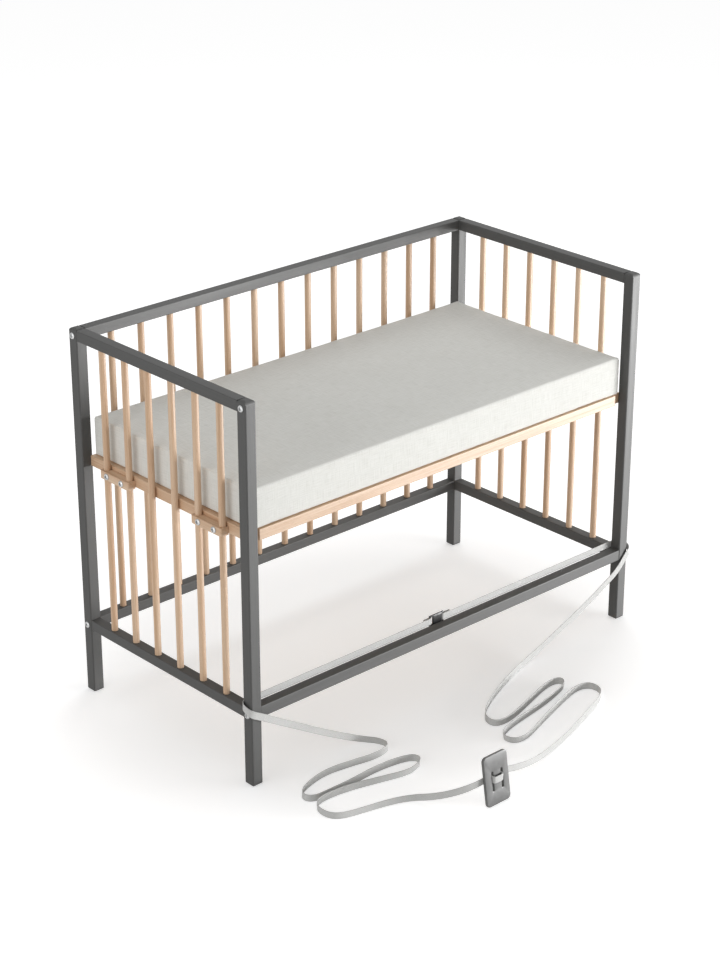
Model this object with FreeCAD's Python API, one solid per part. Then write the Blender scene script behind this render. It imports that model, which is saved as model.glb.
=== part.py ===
import FreeCAD
import Part
import math
import os
from FreeCAD import Vector

# Bedside sleeper crib in millimetres, +Z up.
# The origin is on the floor in the middle of the four posts.  +X runs along the crib, and the
# open side, which stands against the adult bed, faces -Y.
# Two glued end frames are bolted to three long rails.  A slatted base slides up and down
# between the ends, and blocks bolted to it clamp on the end spindles.  A webbing strap with a
# slotted plate ties the crib to the adult bed.

# --- Frame ---------------------------------------------------------------------------------
length = 942.0              # over the posts, along X
width = 472.0               # over the posts, along Y
height = 706.0              # floor to post tops

post_side = 22.0
post_edge_radius = 2.5      # upright edges
post_top_radius = 7.5
post_foot_radius = 5.0

rail_thick = 20.0           # all rails, in the middle of the posts
top_rail_tall = 20.0
low_rail_tall = 20.0
front_rail_tall = 21.5
top_rail_drop = 2.0         # post tops stand this far above the top rails
low_rail_z = 128.0          # underside of the three kinds of lower rail
rail_edge_radius = 1.5

tenon_long = 5.5            # stub tenons of the end rails
tenon_thick = 8.0
tenon_tall = 13.0
glue_gap = 0.1              # round a tenon
glue_depth_gap = 0.8        # beyond its tip
stub_thick = 8.0            # stub above the bolt at each end of a long rail, against turning
stub_tall = 5.0
stub_rise = 7.0             # middle of the stub above the bolt

# --- Spindles ------------------------------------------------------------------------------
spindle_d = 12.0
back_spindle_count = 13
end_spindle_count = 6
spindle_seat = 8.0          # depth of the blind holes
spindle_hole_gap = 0.1      # round the spindle in its hole
spindle_end_gap = 0.5       # between its end and the bottom of the hole
socket_sides = 8            # the hidden holes are drawn with flat sides, to keep faces few

# --- Frame screws and clamp bolts ----------------------------------------------------------
bolt_d = 6.0                # across the flats of the six-sided shank that stands for the thread
bolt_hole_gap = 0.3         # round the shank
bolt_head_d = 12.0
bolt_head_tall = 3.0
socket_flats = 4.0
socket_deep = 2.0
frame_screw_long = 55.0     # under the head
top_bolt_up = 8.5           # above the underside of a top rail
low_bolt_up = 8.0           # above the underside of a lower rail
spare_screw_long = 12.0     # in the tops of the front posts, for a closing side
bolt_tip_gap = 1.0          # beyond the tip of a screw in its blind hole

# --- Sliding base --------------------------------------------------------------------------
base_z = 448.0              # underside, at the height shown
base_rail_tall = 20.0
base_rail_thick = 20.0
base_edge_radius = 1.5
base_spindle_gap = 0.5      # base rails to the spindles beside them
base_post_gap = 0.5         # base end rails to the posts
base_front_inset = 15.0     # front face behind the posts' front faces
slat_count = 11
slat_wide = 50.0
slat_thick = 8.0
slat_seat = 10.0            # width of the rebates that carry the slats
slat_end_gap = 0.5
slat_edge_bevel = 1.2
base_tenon_long = 12.0      # tenons of the long rails in the end rails
base_tenon_thick = 7.0
base_tenon_tall = 12.0
base_tenon_inset = 7.5      # middle of the tenon from the end of the end rail

# --- Clamp blocks --------------------------------------------------------------------------
block_tall = 15.0
block_under = 2.0           # underside below the base's underside
block_past_spindle = 8.4    # beyond the middle of each spindle it holds
block_cover = 10.0          # outside the middle of the spindles
block_rail_gap = 0.5        # left open, so that the bolts can pinch the spindles
block_corner_radius = 3.5
groove_gap = 0.3            # round the spindle
clamp_bolt_half = 20.5      # from the middle of the block
clamp_nut_flats = 10.0
clamp_nut_thick = 5.0
clamp_bolt_past_nut = 2.0

# --- Mattress ------------------------------------------------------------------------------
mattress_rest_gap = 0.3     # over the slats
mattress_thick = 73.5       # at its edges
mattress_crown = 6.0
mattress_end_gap = 0.6      # to the posts' inner faces, lengthwise
mattress_back_gap = 0.5     # to the back rail's inner face
mattress_front_past = 0.5   # over the front of the base, towards +Y
mattress_bottom_radius = 4.0
mattress_top_radius = 9.0
mattress_side_bulge = 2.0
# distance from the end, and how far the outline is drawn in there
mattress_stations = ((0.0, 7.0), (3.0, 2.4), (12.0, 0.0))
mattress_waist = 2.6        # drawn in at mid length
mattress_top_share = 0.6    # of what the outline is drawn in, the top edges sink
mattress_low_share = 0.3    # and the underside rises
mattress_end_crown = 0.2    # what is left of the crown at the ends
mattress_crown_power = 4    # how late the crown falls off towards them

# --- Strap, buckle and plate ---------------------------------------------------------------
strap_wide = 13.0
strap_thick = 1.2
strap_rest_gap = 0.5        # over the end rails
strap_floor_gap = 0.2       # over the floor
strap_post_gap = 1.2        # to the inner side of the front posts
strap_loop_out = 5.5        # middle of the loop round a post, beyond the end of the crib
strap_loop_front = 3.4      # and in front of it
strap_cut_inset = 10.0      # from the end of the crib to where the tight length becomes the loop
strap_arc_share = 0.45      # of the shorter of two runs, taken up by the arc between them
buckle_x = -15.25           # middle of the buckle
buckle_long = 35.5
buckle_tall = 20.5
buckle_thick = 3.4
buckle_corner_radius = 2.5
buckle_bar_d = 3.0          # round bars at its two ends
buckle_body_long = 21.8     # broad middle bar
buckle_body_x = -13.6
buckle_body_thick = 5.0
buckle_body_bevel = 1.0
buckle_window_gap = 0.5     # above and below the strap
strap_bar_gap = 0.15        # strap to the bar that it goes round
tail_end_x = -45.0          # loose tail left of the buckle
sewn_end_x = 20.0           # sewn return right of the buckle

plate_wide = 56.0
plate_tall = 91.0
plate_thick = 6.0
plate_corner_radius = 8.0
plate_x = -198.0            # middle of the plate
plate_foot_y = -554.0       # lower front edge
plate_lean = 9.0            # degrees back from upright
slot_x = (-208.0, -186.0)
slot_wide = 3.6
slot_tall = 35.0
slot_end_radius = 1.6
slot_z = 43.5               # middle of the slots, up the plate

past = 1.0                  # how far a cut runs past the face that it opens

# --- Places that follow --------------------------------------------------------------------
half_length = length / 2
half_width = width / 2
post_inner_x = half_length - post_side
post_inner_y = half_width - post_side
top_rail_z = height - top_rail_drop - top_rail_tall
rail_mid_x = half_length - post_side / 2
rail_mid_y = half_width - post_side / 2
low_rail_top = low_rail_z + low_rail_tall
spindle_bottom = low_rail_top - spindle_seat + spindle_end_gap
spindle_top = top_rail_z + spindle_seat - spindle_end_gap
top_bolt_z = top_rail_z + top_bolt_up
low_bolt_z = low_rail_z + low_bolt_up

base_outer_x = rail_mid_x - spindle_d / 2 - base_spindle_gap
base_inner_x = base_outer_x - base_rail_thick
base_end_y = post_inner_y - base_post_gap
base_back_y = rail_mid_y - spindle_d / 2 - base_spindle_gap
base_front_y = half_width - base_front_inset
base_top = base_z + base_rail_tall
rebate_z = base_top - slat_thick
slat_front_y = base_front_y - base_rail_thick + slat_seat
slat_back_y = base_back_y - base_rail_thick + slat_seat

block_inner_x = base_outer_x + block_rail_gap
block_outer_x = rail_mid_x + block_cover
block_z = base_z - block_under
clamp_bolt_z = block_z + block_tall / 2
clamp_bolt_long = block_outer_x - base_inner_x + clamp_nut_thick + clamp_bolt_past_nut

strap_y = -(post_inner_y - strap_post_gap - strap_thick / 2)
strap_z = low_rail_top + strap_rest_gap + strap_wide / 2
strap_cut_x = half_length - strap_cut_inset
loop_x = half_length + strap_loop_out
loop_y = -(half_width + strap_loop_front)


def evenly(count, clear, member):
    """Middles of members spread over a clear length with equal gaps, about zero."""
    gap = (clear - count * member) / (count + 1)
    return [(gap + member) * (i - (count - 1) / 2) for i in range(count)]


back_spindle_x = evenly(back_spindle_count, 2 * post_inner_x, spindle_d)
end_spindle_y = evenly(end_spindle_count, 2 * post_inner_y, spindle_d)
slat_x = evenly(slat_count, 2 * base_inner_x, slat_wide)
clamped_pairs = (
    (end_spindle_y[0] + end_spindle_y[1]) / 2,
    (end_spindle_y[-1] + end_spindle_y[-2]) / 2,
)
block_half = (end_spindle_y[1] - end_spindle_y[0]) / 2 + block_past_spindle


# --- Plain shapes --------------------------------------------------------------------------
def block(x, y, z):
    """Box from three (low, high) pairs."""
    size = [abs(pair[1] - pair[0]) for pair in (x, y, z)]
    return Part.makeBox(size[0], size[1], size[2], Vector(min(x), min(y), min(z)))


def rod(diameter, start, end):
    """Round rod between two points."""
    start = Vector(*start)
    axis = Vector(*end) - start
    return Part.makeCylinder(diameter / 2, axis.Length, start, axis)


def prism(sides, flats, start, end):
    """Regular prism between two points, measured across its flats."""
    start = Vector(*start)
    axis = Vector(*end) - start
    corner = flats / 2 / math.cos(math.pi / sides)
    turns = [2 * math.pi * (i + 0.5) / sides for i in range(sides)]
    ring = [Vector(corner * math.cos(a), corner * math.sin(a), 0) for a in turns]
    solid = Part.Face(Part.makePolygon(ring + ring[:1])).extrude(Vector(0, 0, axis.Length))
    solid.Placement = FreeCAD.Placement(start, FreeCAD.Rotation(Vector(0, 0, 1), axis))
    return solid


def edges_along(shape, axis):
    """Straight edges of a shape that run along one axis."""
    found = []
    for edge in shape.Edges:
        direction = edge.Vertexes[-1].Point - edge.Vertexes[0].Point
        if direction.Length > 0 and direction.cross(axis).Length < 1e-6:
            found.append(edge)
    return found


def rounded_bar(x, y, z, axis, radius):
    """Box with the four edges along one axis rounded."""
    bar = block(x, y, z)
    return bar.makeFillet(radius, edges_along(bar, axis))


def group(shapes):
    """Like pieces kept in one node, each its own solid."""
    return Part.makeCompound(shapes)


# --- Bolts and their holes -----------------------------------------------------------------
# side of the crib in X, Y and Z of each screw that holds a long rail
rail_screws = [
    (side, y, z)
    for side in (-1, 1)
    for y, z in ((rail_mid_y, top_bolt_z), (rail_mid_y, low_bolt_z), (-rail_mid_y, low_bolt_z))
]
spare_screws = [(side, -rail_mid_y, top_bolt_z) for side in (-1, 1)]
# side of the crib and Y of each clamp bolt
clamp_bolt_places = [
    (side, middle + step)
    for side in (-1, 1)
    for middle in clamped_pairs
    for step in (-clamp_bolt_half, clamp_bolt_half)
]


def socket_bolt(side, seat_x, y, z, shank_long):
    """Bolt along X with a socket head, seated on an outer face at a given X."""
    seat = side * seat_x
    crown = seat + side * bolt_head_tall
    head = rod(bolt_head_d, (seat, y, z), (crown, y, z))
    shank = prism(6, bolt_d, (crown, y, z), (seat - side * shank_long, y, z))
    mouth = crown + side * past
    socket = prism(6, socket_flats, (mouth, y, z), (crown - side * socket_deep, y, z))
    return head.fuse(shank).cut(socket)


def bolt_hole(side, y, z, inner_x):
    """Hole along X for a bolt, from outside the crib to a given X."""
    flats = bolt_d + 2 * bolt_hole_gap
    return prism(6, flats, (side * (half_length + past), y, z), (side * inner_x, y, z))


def screw_hole(side, y, z, screw_long):
    """Blind hole for a frame screw, through a post and on into what is behind it."""
    return bolt_hole(side, y, z, half_length - screw_long - bolt_tip_gap)


def frame_screws():
    """Long screws through the posts into the rails, and the spare ones at the front."""
    seat_x = half_length
    screws = [socket_bolt(side, seat_x, y, z, frame_screw_long) for side, y, z in rail_screws]
    screws += [socket_bolt(side, seat_x, y, z, spare_screw_long) for side, y, z in spare_screws]
    return group(screws)


# --- Wooden joints -------------------------------------------------------------------------
def tenon(side_x, side_y, rail_z, rail_tall, gap=0):
    """Stub tenon at one end of an end rail, or its mortise when a gap is given."""
    mid_x = side_x * rail_mid_x
    mid_z = rail_z + rail_tall / 2
    half_thick = tenon_thick / 2 + gap
    half_tall = tenon_tall / 2 + gap
    tip = post_inner_y + tenon_long + (glue_depth_gap if gap else 0)
    return block(
        (mid_x - half_thick, mid_x + half_thick),
        (side_y * (post_inner_y - past), side_y * tip),
        (mid_z - half_tall, mid_z + half_tall),
    )


def stub(side, y, z, gap=0):
    """Stub above the screw at one end of a long rail, or its mortise when a gap is given."""
    mid_z = z + stub_rise
    half_thick = stub_thick / 2 + gap
    half_tall = stub_tall / 2 + gap
    tip = post_inner_x + tenon_long + (glue_depth_gap if gap else 0)
    return block(
        (side * (post_inner_x - past), side * tip),
        (y - half_thick, y + half_thick),
        (mid_z - half_tall, mid_z + half_tall),
    )


def base_tenon(side_x, side_y, gap=0):
    """Tenon of a long base rail in an end one, or its mortise when a gap is given."""
    mid_y = side_y * (base_end_y - base_tenon_inset)
    mid_z = base_z + base_rail_tall / 2
    half_thick = base_tenon_thick / 2 + gap
    half_tall = base_tenon_tall / 2 + gap
    tip = base_inner_x + base_tenon_long + (glue_depth_gap if gap else 0)
    return block(
        (side_x * (base_inner_x - past), side_x * tip),
        (mid_y - half_thick, mid_y + half_thick),
        (mid_z - half_tall, mid_z + half_tall),
    )


def spindle_socket(x, y, lower):
    """Blind hole for one end of a spindle, in a lower or a top rail."""
    flats = spindle_d + 2 * spindle_hole_gap
    if lower:
        span = (low_rail_top - spindle_seat, low_rail_top + past)
    else:
        span = (top_rail_z - past, top_rail_z + spindle_seat)
    return prism(socket_sides, flats, (x, y, span[0]), (x, y, span[1]))


# --- Posts, rails and spindles -------------------------------------------------------------
def post(side_x, side_y):
    """Square post, rounded all over, with its mortises and screw holes."""
    x = (side_x * post_inner_x, side_x * half_length)
    y = (side_y * post_inner_y, side_y * half_width)
    z = (0, height)
    upright = rounded_bar(x, y, z, Vector(0, 0, 1), post_edge_radius)
    ends = block(x, y, z)
    level = edges_along(ends, Vector(1, 0, 0)) + edges_along(ends, Vector(0, 1, 0))
    upper = [edge for edge in level if edge.CenterOfMass.z > height / 2]
    lower = [edge for edge in level if edge.CenterOfMass.z < height / 2]
    rounded_top = ends.makeFillet(post_top_radius, upper)
    rounded_foot = ends.makeFillet(post_foot_radius, lower)
    stock = upright.common([rounded_top]).common([rounded_foot])
    cuts = [
        tenon(side_x, side_y, top_rail_z, top_rail_tall, glue_gap),
        tenon(side_x, side_y, low_rail_z, low_rail_tall, glue_gap),
    ]
    for side, screw_y, z in rail_screws:
        if side == side_x and screw_y * side_y > 0:
            cuts.append(screw_hole(side, screw_y, z, frame_screw_long))
            cuts.append(stub(side, screw_y, z, glue_gap))
    for side, screw_y, z in spare_screws:
        if side == side_x and screw_y * side_y > 0:
            cuts.append(screw_hole(side, screw_y, z, spare_screw_long))
    return stock.cut(cuts)


def end_rail(side_x, rail_z, rail_tall):
    """Rail of a glued end frame, with a stub tenon at each end and its spindle holes."""
    mid_x = side_x * rail_mid_x
    x = (mid_x - rail_thick / 2, mid_x + rail_thick / 2)
    y = (-post_inner_y, post_inner_y)
    rail = rounded_bar(x, y, (rail_z, rail_z + rail_tall), Vector(0, 1, 0), rail_edge_radius)
    rail = rail.fuse([tenon(side_x, side_y, rail_z, rail_tall) for side_y in (-1, 1)])
    lower = rail_z == low_rail_z
    return rail.cut([spindle_socket(mid_x, at, lower) for at in end_spindle_y])


def long_rail(side_y, rail_z, rail_tall, screw_z):
    """Rail between two posts, with a screw hole and a stub at each end."""
    x = (-post_inner_x, post_inner_x)
    mid_y = side_y * rail_mid_y
    y = (mid_y - rail_thick / 2, mid_y + rail_thick / 2)
    rail = rounded_bar(x, y, (rail_z, rail_z + rail_tall), Vector(1, 0, 0), rail_edge_radius)
    rail = rail.fuse([stub(side, mid_y, screw_z) for side in (-1, 1)])
    holes = [screw_hole(side, mid_y, screw_z, frame_screw_long) for side in (-1, 1)]
    return rail.cut(holes)


def back_rail(rail_z, rail_tall, screw_z):
    """Long rail with the row of spindle holes."""
    lower = rail_z == low_rail_z
    sockets = [spindle_socket(at, rail_mid_y, lower) for at in back_spindle_x]
    return long_rail(1, rail_z, rail_tall, screw_z).cut(sockets)


def spindle(x, y):
    """Round spindle between a lower and a top rail."""
    return rod(spindle_d, (x, y, spindle_bottom), (x, y, spindle_top))


# --- Sliding base --------------------------------------------------------------------------
def base_end_rail(side_x):
    """Short rail of the base, between the posts of one end."""
    x = (side_x * base_inner_x, side_x * base_outer_x)
    y = (-base_end_y, base_end_y)
    rail = rounded_bar(x, y, (base_z, base_top), Vector(0, 1, 0), base_edge_radius)
    cuts = [base_tenon(side_x, side_y, glue_gap) for side_y in (-1, 1)]
    for side, at in clamp_bolt_places:
        if side == side_x:
            cuts.append(bolt_hole(side, at, clamp_bolt_z, base_inner_x - past))
    return rail.cut(cuts)


def base_long_rail(side_y, outer_y, seat_y):
    """Long rail of the base, tenoned at its ends, with the rebate that carries the slats."""
    x = (-base_inner_x, base_inner_x)
    inner_y = outer_y - base_rail_thick
    y = (side_y * inner_y, side_y * outer_y)
    rail = rounded_bar(x, y, (base_z, base_top), Vector(1, 0, 0), base_edge_radius)
    rebate = block(x, (side_y * (inner_y - past), side_y * seat_y), (rebate_z, base_top + past))
    return rail.cut(rebate).fuse([base_tenon(side_x, side_y) for side_x in (-1, 1)])


def bed_slats():
    """Slats laid across the base in its rebates."""
    slats = []
    for middle in slat_x:
        x = (middle - slat_wide / 2, middle + slat_wide / 2)
        y = (-slat_front_y + slat_end_gap, slat_back_y - slat_end_gap)
        slat = block(x, y, (rebate_z, base_top))
        level = edges_along(slat, Vector(0, 1, 0))
        upper = [edge for edge in level if edge.CenterOfMass.z > rebate_z + slat_thick / 2]
        slats.append(slat.makeChamfer(slat_edge_bevel, upper))
    return group(slats)


def clamp_block(side, middle):
    """Block outside a pair of end spindles, with a groove for each, open to the base rail."""
    x = (side * block_inner_x, side * block_outer_x)
    y = (middle - block_half, middle + block_half)
    body = block(x, y, (block_z, block_z + block_tall))
    upright = edges_along(body, Vector(0, 0, 1))
    outer = [edge for edge in upright if abs(edge.CenterOfMass.x) > rail_mid_x]
    body = body.makeFillet(block_corner_radius, outer)
    cuts = [
        bolt_hole(side, middle + step, clamp_bolt_z, block_inner_x - past)
        for step in (-clamp_bolt_half, clamp_bolt_half)
    ]
    groove = spindle_d / 2 + groove_gap
    mid_x = side * rail_mid_x
    z = (block_z - past, block_z + block_tall + past)
    for at in end_spindle_y:
        if abs(at - middle) < block_half:
            open_side = (side * (block_inner_x - past), mid_x)
            cuts.append(rod(2 * groove, (mid_x, at, z[0]), (mid_x, at, z[1])))
            cuts.append(block(open_side, (at - groove, at + groove), z))
    return body.cut(cuts)


def clamp_bolts():
    """Two bolts through each clamp block and the base end rail behind it."""
    bolts = []
    for side, y in clamp_bolt_places:
        bolts.append(socket_bolt(side, block_outer_x, y, clamp_bolt_z, clamp_bolt_long))
    return group(bolts)


def clamp_nuts():
    """Nuts of the clamp bolts, on the inner faces of the base end rails."""
    nuts = []
    for side, y in clamp_bolt_places:
        seat = (side * base_inner_x, y, clamp_bolt_z)
        face = (side * (base_inner_x - clamp_nut_thick), y, clamp_bolt_z)
        nuts.append(prism(6, clamp_nut_flats, seat, face).cut(prism(6, bolt_d, seat, face)))
    return group(nuts)


# --- Mattress ------------------------------------------------------------------------------
mattress_half = post_inner_x - mattress_end_gap
mattress_front = -(base_front_y - mattress_front_past)
mattress_back = rail_mid_y - rail_thick / 2 - mattress_back_gap
mattress_z = base_top + mattress_rest_gap


def mattress_section(x, drawn_in, crown):
    """Cross-section: flat underside, bowed sides, rounded edges and a crowned top."""
    front = mattress_front + drawn_in
    back = mattress_back - drawn_in
    low = mattress_z + drawn_in * mattress_low_share
    high = mattress_z + mattress_thick - drawn_in * mattress_top_share
    r_low = mattress_bottom_radius
    r_high = mattress_top_radius
    diagonal = 1 - math.sqrt(0.5)
    bulge = mattress_side_bulge

    def at(y, z):
        return Vector(x, y, z)

    def arc(a, b, c):
        return Part.Arc(a, b, c).toShape()

    side_low = low + r_low
    side_high = high - r_high
    side_mid = (side_low + side_high) / 2
    # the sides stand out at half height, so the corners start a little further in
    front_in = front + bulge
    back_in = back - bulge
    return Part.Wire([
        Part.LineSegment(at(front_in + r_low, low), at(back_in - r_low, low)).toShape(),
        arc(
            at(back_in - r_low, low),
            at(back_in - r_low * diagonal, low + r_low * diagonal),
            at(back_in, side_low),
        ),
        arc(at(back_in, side_low), at(back, side_mid), at(back_in, side_high)),
        arc(
            at(back_in, side_high),
            at(back_in - r_high * diagonal, high - r_high * diagonal),
            at(back_in - r_high, high),
        ),
        arc(
            at(back_in - r_high, high),
            at((front + back) / 2, high + crown),
            at(front_in + r_high, high),
        ),
        arc(
            at(front_in + r_high, high),
            at(front_in + r_high * diagonal, high - r_high * diagonal),
            at(front_in, side_high),
        ),
        arc(at(front_in, side_high), at(front, side_mid), at(front_in, side_low)),
        arc(
            at(front_in, side_low),
            at(front_in + r_low * diagonal, low + r_low * diagonal),
            at(front_in + r_low, low),
        ),
    ])


def mattress():
    """Foam mattress lofted along its length: rounded ends, waisted sides and a crown."""
    left = [(-mattress_half + from_end, drawn_in) for from_end, drawn_in in mattress_stations]
    right = [(-x, drawn_in) for x, drawn_in in reversed(left)]
    sections = []
    for x, drawn_in in left + [(0.0, mattress_waist)] + right:
        fall = (x / mattress_half) ** mattress_crown_power
        crown = mattress_crown * (1 - fall) + mattress_end_crown
        sections.append(mattress_section(x, drawn_in, crown))
    return Part.makeLoft(sections, True, True)


# --- Strap ---------------------------------------------------------------------------------
def tangent_path(points):
    """Straight runs joined by tangent arcs."""
    corners = [Vector(*point) for point in points]
    edges = []
    radii = []
    start = corners[0]
    for before, corner, after in zip(corners, corners[1:], corners[2:]):
        way_in = (corner - before).normalize()
        way_out = (after - corner).normalize()
        trim = strap_arc_share * min((corner - before).Length, (after - corner).Length)
        half_turn = way_in.getAngle(way_out) / 2
        radius = trim / math.tan(half_turn)
        first = corner - way_in * trim
        last = corner + way_out * trim
        inward = (way_out - way_in).normalize()
        middle = corner + inward * (radius / math.cos(half_turn) - radius)
        edges.append(Part.LineSegment(start, first).toShape())
        edges.append(Part.Arc(first, middle, last).toShape())
        radii.append(radius)
        start = last
    edges.append(Part.LineSegment(start, corners[-1]).toShape())
    return Part.Wire(edges), radii


def level_length(path):
    """Length of a path seen from above."""
    total = 0
    for edge in path.Edges:
        steps = edge.discretize(9)
        total += sum(math.hypot(b.x - a.x, b.y - a.y) for a, b in zip(steps, steps[1:]))
    return total


def webbing(name, points):
    """Strap on edge along a route: its width stays upright while its path turns."""
    path, radii = tangent_path(points)
    start = Vector(*points[0])
    way = Vector(*points[1]) - start
    across = Vector(-way.y, way.x, 0).normalize() * (strap_thick / 2)
    up = Vector(0, 0, strap_wide / 2)
    corners = [start - across - up, start + across - up, start + across + up, start - across + up]
    section = Part.makePolygon(corners + corners[:1])
    sweep = Part.BRepOffsetAPI.MakePipeShell(path)
    sweep.setBiNormalMode(Vector(0, 0, 1))
    sweep.add(section)
    sweep.build()
    sweep.makeSolid()
    strap = sweep.shape()
    expected = level_length(path) * strap_thick * strap_wide
    print(f"{name}: length {path.Length:.0f}, least radius {min(radii):.1f}")
    print(f"{name}: volume {strap.Volume:.0f} for {expected:.0f}, valid {strap.isValid()}")
    return strap


bar_turn = buckle_bar_d / 2 + strap_bar_gap + strap_thick / 2
buckle_y = strap_y + bar_turn
left_bar_x = buckle_x - buckle_long / 2 + buckle_bar_d / 2
right_bar_x = buckle_x + buckle_long / 2 - buckle_bar_d / 2


def tight_strap(from_x, bar_x, end_x):
    """Tight strap from a post to a buckle bar, round it and back along itself."""
    way = 1 if bar_x > from_x else -1
    plan = []
    for offset in (-strap_thick / 2, strap_thick / 2):
        radius = bar_turn - offset
        front = buckle_y - radius
        back = buckle_y + radius
        plan.append((front, back, bar_x + way * radius))
    (front_a, back_a, tip_a), (front_b, back_b, tip_b) = plan
    z = strap_z - strap_wide / 2

    def at(x, y):
        return Vector(x, y, z)

    outline = Part.Wire([
        Part.LineSegment(at(from_x, front_a), at(bar_x, front_a)).toShape(),
        Part.Arc(at(bar_x, front_a), at(tip_a, buckle_y), at(bar_x, back_a)).toShape(),
        Part.LineSegment(at(bar_x, back_a), at(end_x, back_a)).toShape(),
        Part.LineSegment(at(end_x, back_a), at(end_x, back_b)).toShape(),
        Part.LineSegment(at(end_x, back_b), at(bar_x, back_b)).toShape(),
        Part.Arc(at(bar_x, back_b), at(tip_b, buckle_y), at(bar_x, front_b)).toShape(),
        Part.LineSegment(at(bar_x, front_b), at(from_x, front_b)).toShape(),
        Part.LineSegment(at(from_x, front_b), at(from_x, front_a)).toShape(),
    ])
    return Part.Face(outline).extrude(Vector(0, 0, strap_wide))


def strap_buckle():
    """Slide buckle: two round end bars and a broad middle bar between two cheeks."""
    x = (buckle_x - buckle_long / 2, buckle_x + buckle_long / 2)
    y = (buckle_y - buckle_thick / 2, buckle_y + buckle_thick / 2)
    z = (strap_z - buckle_tall / 2, strap_z + buckle_tall / 2)
    frame = rounded_bar(x, y, z, Vector(0, 1, 0), buckle_corner_radius)
    window_half = strap_wide / 2 + buckle_window_gap
    window = (strap_z - window_half, strap_z + window_half)
    frame = frame.cut(block((x[0] - past, x[1] + past), (y[0] - past, y[1] + past), window))
    reach = (window[0] - past, window[1] + past)
    bars = [
        rod(buckle_bar_d, (bar_x, buckle_y, reach[0]), (bar_x, buckle_y, reach[1]))
        for bar_x in (left_bar_x, right_bar_x)
    ]
    body = block(
        (buckle_body_x - buckle_body_long / 2, buckle_body_x + buckle_body_long / 2),
        (buckle_y - buckle_body_thick / 2, buckle_y + buckle_body_thick / 2),
        reach,
    )
    body = body.makeChamfer(buckle_body_bevel, edges_along(body, Vector(0, 0, 1)))
    return frame.fuse(bars + [body]).removeSplitter()


# --- Plate on the strap --------------------------------------------------------------------
def strap_plate():
    """Slotted plate on the strap, standing on the floor and leaning back."""
    x = (plate_x - plate_wide / 2, plate_x + plate_wide / 2)
    plate = rounded_bar(x, (0, plate_thick), (0, plate_tall), Vector(0, 1, 0), plate_corner_radius)
    through = (-past, plate_thick + past)
    tall = (slot_z - slot_tall / 2, slot_z + slot_tall / 2)
    for at in slot_x:
        wide = (at - slot_wide / 2, at + slot_wide / 2)
        plate = plate.cut(rounded_bar(wide, through, tall, Vector(0, 1, 0), slot_end_radius))
    plate.rotate(Vector(0, 0, 0), Vector(1, 0, 0), -plate_lean)
    plate.translate(Vector(0, plate_foot_y, 0))
    plate.translate(Vector(0, 0, -plate.BoundBox.ZMin))
    return plate


# --- Free strap routes, chosen by hand -----------------------------------------------------
on_floor = strap_wide / 2 + strap_floor_gap
behind_plate = -537.8
before_plate = -550.0
left_strap_route = [
    (-strap_cut_x, strap_y, strap_z),
    (-loop_x, strap_y, 154.5),
    (-loop_x, loop_y, 145.5),
    (-450, -239.4, 131),
    (-408, -238.9, 105),
    (-366, -238.0, 80),
    (-323, -238.4, 54),
    (-279, -238.0, 29),
    (-236, -241, on_floor),
    (-210, -276, on_floor),
    (-213, -301, on_floor),
    (-252, -307, on_floor),
    (-301, -296, on_floor),
    (-353, -288, on_floor),
    (-399, -297, on_floor),
    (-428, -310, on_floor),
    (-435, -328, on_floor),
    (-422, -340, on_floor),
    (-396, -341, on_floor),
    (-343, -342.5, on_floor),
    (-280, -338, on_floor),
    (-231, -344, on_floor),
    (-206, -354, on_floor),
    (-205, -371, on_floor),
    (-225, -381, on_floor),
    (-251, -384, on_floor),
    (-298, -370, on_floor),
    (-352, -354, on_floor),
    (-400, -347.5, on_floor),
    (-430, -352, on_floor),
    (-443, -370, on_floor),
    (-441, -398, on_floor),
    (-422, -413.5, on_floor),
    (-374, -424.5, on_floor),
    (-327, -436, on_floor),
    (-297, -452, on_floor + 0.5),
    (-287, -477, 15),
    (-271, -503, 25),
    (-252, -527, 38),
    (-231, behind_plate, 46),
    (-213, behind_plate, 47.5),
]
right_strap_route = [
    (strap_cut_x, strap_y, strap_z),
    (loop_x, strap_y, 154.5),
    (loop_x, loop_y, 147),
    (461, -239.4, 130),
    (441, -239.3, 109),
    (412, -238.6, 93),
    (368, -238.0, 70),
    (300, -238.1, 42.5),
    (232, -238.6, 16.5),
    (190, -243, on_floor + 0.3),
    (150, -255, on_floor),
    (92, -276, on_floor),
    (40, -299.5, on_floor),
    (4, -320.5, on_floor),
    (-20, -343, on_floor),
    (-22, -366, on_floor),
    (-3, -373, on_floor),
    (26, -370, on_floor),
    (75, -355, on_floor),
    (125, -339, on_floor),
    (160, -330.5, on_floor),
    (184, -335, on_floor),
    (179, -353, on_floor),
    (151, -363, on_floor),
    (103, -375, on_floor),
    (46, -383, on_floor),
    (4, -389, on_floor),
    (-28, -398, on_floor),
    (-44, -411, on_floor),
    (-40, -432, on_floor),
    (-20, -438.5, on_floor),
    (6, -433, on_floor),
    (38, -421, on_floor),
    (88, -404, on_floor),
    (140, -387, on_floor),
    (185, -376, on_floor),
    (210, -385, on_floor),
    (211, -412, on_floor),
    (188, -432, on_floor),
    (128, -454, on_floor),
    (44, -483, on_floor),
    (-25, -500, on_floor + 0.5),
    (-85, -526, 26),
    (-131, -536, 38),
    (-162, behind_plate + 0.2, 46),
    (slot_x[1] + 8, behind_plate, 47.5),
    (slot_x[1], behind_plate, 47.5),
    (slot_x[1], before_plate, 47.5),
    (slot_x[1] - 6, before_plate - 1.2, 47.5),
    (slot_x[0] + 6, before_plate - 1.2, 47.5),
    (slot_x[0], before_plate, 47.5),
    (slot_x[0], behind_plate, 47.5),
    (-213, behind_plate, 47.5),
]


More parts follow.
